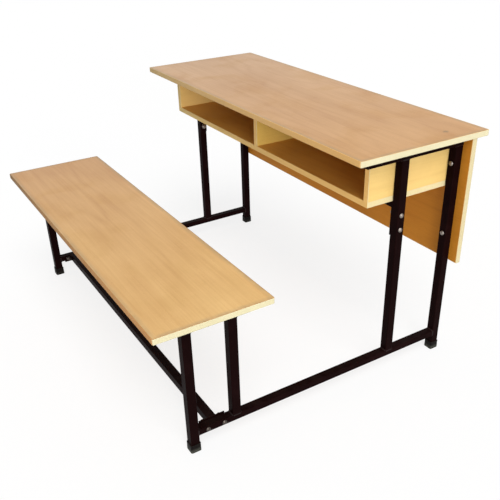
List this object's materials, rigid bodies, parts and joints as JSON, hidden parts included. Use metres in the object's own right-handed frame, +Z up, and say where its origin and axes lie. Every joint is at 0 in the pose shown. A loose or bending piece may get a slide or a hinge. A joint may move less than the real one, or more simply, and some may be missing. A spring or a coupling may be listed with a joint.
{
  "type": "school bench with desk",
  "caption": "School bench: a seat board and a desk board with an open book shelf and a front panel, on two welded square-tube side frames.",
  "frame": {"origin": "on the floor, at the middle of the overall length and depth", "axes": "+X along the boards towards the sitters' right hand, +Y from the seat towards the front panel, +Z up"},
  "size_m": [1.22, 1, 0.698],
  "materials": {
    "desk_laminate": "satin wood-grain laminate",
    "seat_laminate": "satin wood-grain laminate",
    "shelf_board": "satin wood-grain laminate",
    "panel_board": "satin wood-grain laminate",
    "edge_band": "matte",
    "frame_paint": "semi-gloss powder coat",
    "cap_plastic": "matte moulded",
    "bright_steel": "bright zinc plate",
    "dowel_wood": "bare"
  },
  "bodies": {
    "root": {"bench_front_leg_left": "frame_paint", "bench_front_leg_right": "frame_paint", "bench_rear_leg_left": "frame_paint", "bench_rear_leg_right": "frame_paint", "desk_board": "desk_laminate", "desk_board_edge_band": "edge_band", "desk_board_screws": "bright_steel", "desk_inner_leg_left": "frame_paint", "desk_inner_leg_right": "frame_paint", "desk_outer_leg_left": "frame_paint", "desk_outer_leg_right": "frame_paint", "desk_rail_left": "frame_paint", "desk_rail_right": "frame_paint", "floor_rail_left": "frame_paint", "floor_rail_right": "frame_paint", "foot_cap_bench_left": "cap_plastic", "foot_cap_bench_right": "cap_plastic", "foot_cap_desk_left": "cap_plastic", "foot_cap_desk_right": "cap_plastic", "frame_welds_left": "frame_paint", "frame_welds_right": "frame_paint", "front_panel": "panel_board", "front_panel_bolts": "bright_steel", "front_panel_edge_band": "edge_band", "front_panel_nuts": "bright_steel", "front_panel_screws": "bright_steel", "front_panel_washers": "bright_steel", "plate_welds": "frame_paint", "rail_end_plugs": "cap_plastic", "seat_board": "seat_laminate", "seat_board_edge_band": "edge_band", "seat_board_screws": "bright_steel", "seat_rail_left": "frame_paint", "seat_rail_right": "frame_paint", "shelf_bottom_board": "shelf_board", "shelf_cross_bolts": "bright_steel", "shelf_cross_nuts": "bright_steel", "shelf_cross_plate_left": "frame_paint", "shelf_cross_plate_right": "frame_paint", "shelf_cross_screws": "bright_steel", "shelf_cross_tube": "frame_paint", "shelf_cross_washers": "bright_steel", "shelf_divider": "shelf_board", "shelf_dowels": "dowel_wood", "shelf_edge_bands": "edge_band", "shelf_end_board_left": "shelf_board", "shelf_end_board_right": "shelf_board", "shelf_screws": "bright_steel", "stretcher_bolts": "bright_steel", "stretcher_nuts": "bright_steel", "stretcher_plate_left": "frame_paint", "stretcher_plate_right": "frame_paint", "stretcher_tube": "frame_paint", "stretcher_washers": "bright_steel"}
  },
  "joints": []
}
